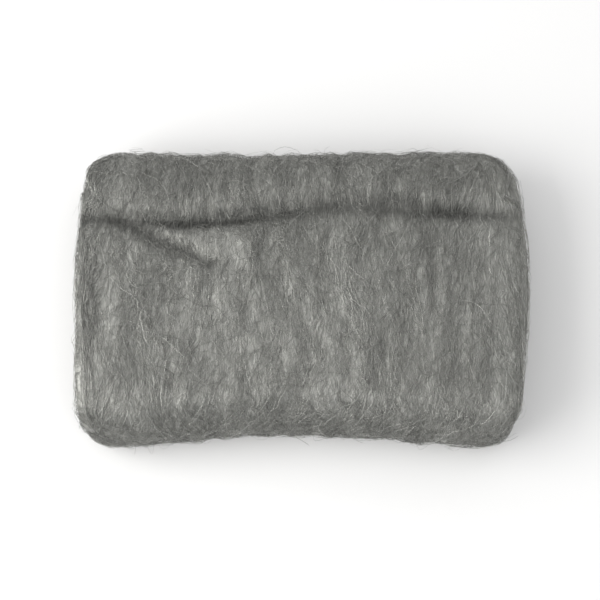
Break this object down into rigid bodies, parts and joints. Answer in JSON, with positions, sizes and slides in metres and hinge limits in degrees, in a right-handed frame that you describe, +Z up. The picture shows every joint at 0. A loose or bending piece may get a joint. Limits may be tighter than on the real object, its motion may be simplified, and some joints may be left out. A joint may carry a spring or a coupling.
{
  "type": "steel wool pad",
  "caption": "Soft hand pad for rubbing down and polishing: a ribbon of fine steel fibres, rolled up and pressed flat, with the turns of the roll showing at both ends.",
  "frame": {"origin": "centre of the outer size, at the level of the flat spot underneath", "axes": "+X along the long side and the axis of the roll, +Y to the long edge nearest the ribbon's outer end, +Z up through the thickness"},
  "size_m": [0.1, 0.066, 0.021],
  "materials": {
    "steel_wool": "dull grey mat of fine steel fibres that glint where the light catches them"
  },
  "bodies": {
    "root": {"steel_wool_pad": "steel_wool"}
  },
  "joints": []
}
